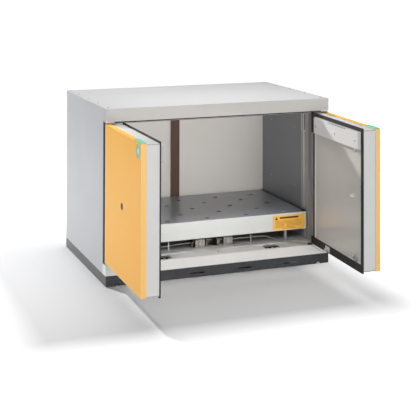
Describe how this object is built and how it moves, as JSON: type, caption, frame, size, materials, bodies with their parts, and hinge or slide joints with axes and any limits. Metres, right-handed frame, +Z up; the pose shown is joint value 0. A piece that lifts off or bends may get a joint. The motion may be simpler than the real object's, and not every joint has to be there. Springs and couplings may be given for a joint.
{
  "type": "flammable storage cabinet",
  "caption": "Low under-bench safety cabinet with two insulated wing doors, a lift-out sump tray with perforated insert, self-closing gear and a rear exhaust collar.",
  "frame": {"origin": "centre of the footprint, on the underside of the plinth where it stands on the floor", "axes": "+Z up, the doors open towards -Y, +X to the right of a person who faces the doors"},
  "size_m": [0.852, 0.9628, 0.6],
  "materials": {
    "outer_sheet": "light grey fine-texture powder coat",
    "liner_sheet": "grey coated sheet",
    "jamb_sheet": "grey coated sheet",
    "floor_sheet": "light grey coated sheet",
    "tray_sheet": "light grey powder coat",
    "insert_sheet": "grey powder coat",
    "plinth_coat": "anthracite powder coat",
    "door_skin_coat": "warm yellow powder coat",
    "door_casing_coat": "light grey powder coat",
    "fire_board": "matt mineral fibre board",
    "seal_rubber": "matt black seal",
    "riser_coat": "brown coat",
    "zinc_plate": "zinc plated",
    "bright_steel": "bright steel",
    "black_plastic": "black moulding",
    "green_plastic": "mint green moulding"
  },
  "bodies": {
    "cabinet": {"plinth": "plinth_coat", "levelling_foot_front_left": "zinc_plate", "levelling_foot_front_right": "zinc_plate", "levelling_foot_rear_left": "zinc_plate", "levelling_foot_rear_right": "zinc_plate", "base_panel": "outer_sheet", "side_panel_left": "outer_sheet", "side_panel_right": "outer_sheet", "top_cover": "outer_sheet", "rear_panel": "outer_sheet", "front_sill": "outer_sheet", "floor_pan": "floor_sheet", "base_board": "fire_board", "top_board": "fire_board", "side_board_left": "fire_board", "side_board_right": "fire_board", "rear_board": "fire_board", "side_liner_left": "liner_sheet", "side_liner_right": "liner_sheet", "rear_liner": "liner_sheet", "ceiling_liner": "liner_sheet", "jamb_left": "jamb_sheet", "jamb_right": "jamb_sheet", "header_seal": "seal_rubber", "hinge_gap_seal_left": "seal_rubber", "hinge_gap_seal_right": "seal_rubber", "exhaust_riser": "riser_coat", "exhaust_collar": "zinc_plate", "closer_block": "bright_steel", "closer_conduit_left": "zinc_plate", "closer_conduit_right": "zinc_plate", "wire_guide_left": "black_plastic", "wire_guide_right": "black_plastic", "hinge_bracket_bottom_left": "zinc_plate", "hinge_bracket_bottom_right": "zinc_plate", "hinge_bracket_top_left": "zinc_plate", "hinge_bracket_top_right": "zinc_plate", "tray_stand": "jamb_sheet"},
    "sump_tray": {"sump_tray": "tray_sheet"},
    "perforated_insert": {"perforated_insert": "insert_sheet"},
    "left_door": {"left_door_skin": "door_skin_coat", "left_door_core": "fire_board", "left_door_casing": "door_casing_coat", "left_door_seal": "seal_rubber", "left_cover_box": "door_casing_coat", "left_pull_tab": "green_plastic", "left_wire_bracket": "zinc_plate"},
    "left_lock_plug": {"left_lock_plug": "bright_steel"},
    "left_lock_bolt": {"left_lock_bolt": "zinc_plate"},
    "closer_drum_left": {"closer_drum_left": "bright_steel"},
    "right_door": {"right_door_skin": "door_skin_coat", "right_door_core": "fire_board", "right_door_casing": "door_casing_coat", "right_door_seal": "seal_rubber", "right_cover_box": "door_casing_coat", "right_pull_tab": "green_plastic", "right_wire_bracket": "zinc_plate"},
    "right_lock_plug": {"right_lock_plug": "bright_steel"},
    "right_lock_bolt": {"right_lock_bolt": "zinc_plate"},
    "closer_drum_right": {"closer_drum_right": "bright_steel"}
  },
  "joints": [
    {"name": "left_door_hinge", "type": "hinge", "parent": "cabinet", "child": "left_door", "pos_m": [-0.417, -0.2715, 0.31], "axis": [0, 0, 1], "range_deg": [-4.2, 90.8]},
    {"name": "closer_drum_left_turn", "type": "hinge", "parent": "cabinet", "child": "closer_drum_left", "pos_m": [-0.038, -0.1535, 0.083], "axis": [0, 1, 0], "range_deg": [-13.27, 280.7]},
    {"name": "left_lock_turn", "type": "hinge", "parent": "left_door", "child": "left_lock_plug", "pos_m": [-0.42486, -0.47611, 0.3139], "axis": [0.9999, -0.014, 0], "range_deg": [0, 90]},
    {"name": "left_bolt_slide", "type": "slide", "parent": "left_door", "child": "left_lock_bolt", "axis": [0, 0, -1], "range_m": [0, 0.02]},
    {"name": "right_door_hinge", "type": "hinge", "parent": "cabinet", "child": "right_door", "pos_m": [0.417, -0.2715, 0.31], "axis": [0, 0, -1], "range_deg": [-7.7, 87.3]},
    {"name": "closer_drum_right_turn", "type": "hinge", "parent": "cabinet", "child": "closer_drum_right", "pos_m": [0.071, -0.1535, 0.083], "axis": [0, -1, 0], "range_deg": [-22.19, 248.49]},
    {"name": "right_lock_turn", "type": "hinge", "parent": "right_door", "child": "right_lock_plug", "pos_m": [0.41235, -0.47621, 0.3139], "axis": [0.9989, -0.0471, 0], "range_deg": [0, 90]},
    {"name": "right_bolt_slide", "type": "slide", "parent": "right_door", "child": "right_lock_bolt", "axis": [0, 0, -1], "range_m": [0, 0.02]},
    {"name": "tray_lift", "type": "slide", "parent": "cabinet", "child": "sump_tray", "axis": [0, 0, 1], "range_m": [0, 0.12]},
    {"name": "insert_lift", "type": "slide", "parent": "sump_tray", "child": "perforated_insert", "axis": [0, 0, 1], "range_m": [0, 0.1]}
  ],
  "couplings": [
    {"joint": "closer_drum_left_turn", "follows": "left_door_hinge", "ratio": 3.0881},
    {"joint": "left_lock_turn", "follows": "left_bolt_slide", "rad_per_m": 78.5},
    {"joint": "closer_drum_right_turn", "follows": "right_door_hinge", "ratio": 2.8429},
    {"joint": "right_lock_turn", "follows": "right_bolt_slide", "rad_per_m": 78.5}
  ]
}
